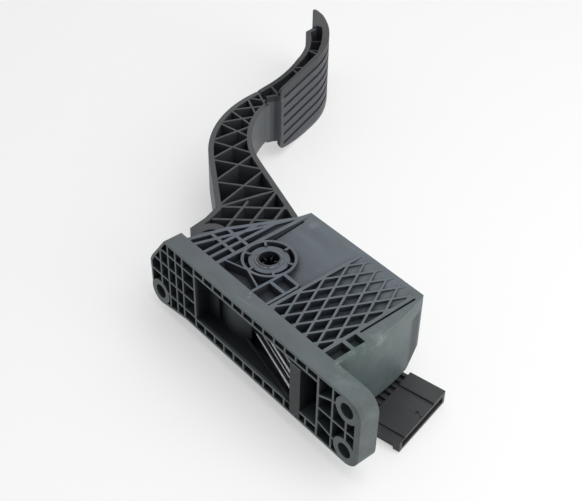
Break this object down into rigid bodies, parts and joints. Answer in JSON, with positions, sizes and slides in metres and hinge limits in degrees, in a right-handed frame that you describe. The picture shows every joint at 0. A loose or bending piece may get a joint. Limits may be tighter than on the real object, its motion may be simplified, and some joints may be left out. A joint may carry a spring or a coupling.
{
  "type": "accelerator pedal module",
  "caption": "Hanging accelerator pedal module: ribbed plastic housing on a bolted flange, ribbed curved arm with grooved foot pad, torsion springs and contactless position sensor.",
  "frame": {"origin": "centre of bolt hole A, the one beside the arm, in the plane of the flange's rear face", "axes": "+Y from the mounting wall towards the driver, against the way the studs leave the bolt holes; +X along the flange from hole A towards the plug; +Z along the pivot axis, from the sensor cover's side to the ribbed side"},
  "size_m": [0.3137, 0.2463, 0.0565],
  "materials": {
    "housing_plastic": "glass-filled nylon, dark greenish grey, dry matt moulded skin",
    "arm_plastic": "glass-filled nylon, dark grey, dry matt moulded skin",
    "cover_plastic": "black thermoplastic polyester, fine-grained",
    "shaft_plastic": "dark acetal",
    "bush_plastic": "dark low-friction bearing plastic",
    "spring_steel": "drawn patented spring wire, bright",
    "stop_rubber": "moulded rubber",
    "magnet": "sintered ferrite magnet",
    "board": "glass-epoxy board with green resist",
    "chip": "black moulded chip package",
    "terminal_metal": "tinned bronze blade",
    "screw_steel": "zinc-plated steel"
  },
  "bodies": {
    "housing_body": {"housing": "housing_plastic", "bush_upper": "bush_plastic", "bush_lower": "bush_plastic", "spring_inner": "spring_steel", "spring_outer": "spring_steel", "idle_stop": "stop_rubber", "full_travel_stop": "stop_rubber", "circuit_board": "board", "hall_sensor_1": "chip", "hall_sensor_2": "chip", "terminal_1": "terminal_metal", "terminal_2": "terminal_metal", "terminal_3": "terminal_metal", "terminal_4": "terminal_metal", "terminal_5": "terminal_metal", "terminal_6": "terminal_metal", "cover_seal": "stop_rubber", "sensor_cover": "cover_plastic", "cover_screw_1": "screw_steel", "cover_screw_2": "screw_steel", "cover_screw_3": "screw_steel", "cover_screw_4": "screw_steel"},
    "arm_body": {"pedal_arm": "arm_plastic", "pivot_shaft": "shaft_plastic", "magnet_holder": "shaft_plastic", "sensor_magnet": "magnet"}
  },
  "joints": [
    {"name": "pedal_hinge", "type": "hinge", "parent": "housing_body", "child": "arm_body", "pos_m": [0.0541, 0.0361, 0.01425], "axis": [0, 0, 1], "range_deg": [0, 12.2], "stiffness_Nm_per_rad": 16.7, "springref_deg": -16.04, "deforming": ["spring_inner", "spring_outer"]}
  ]
}
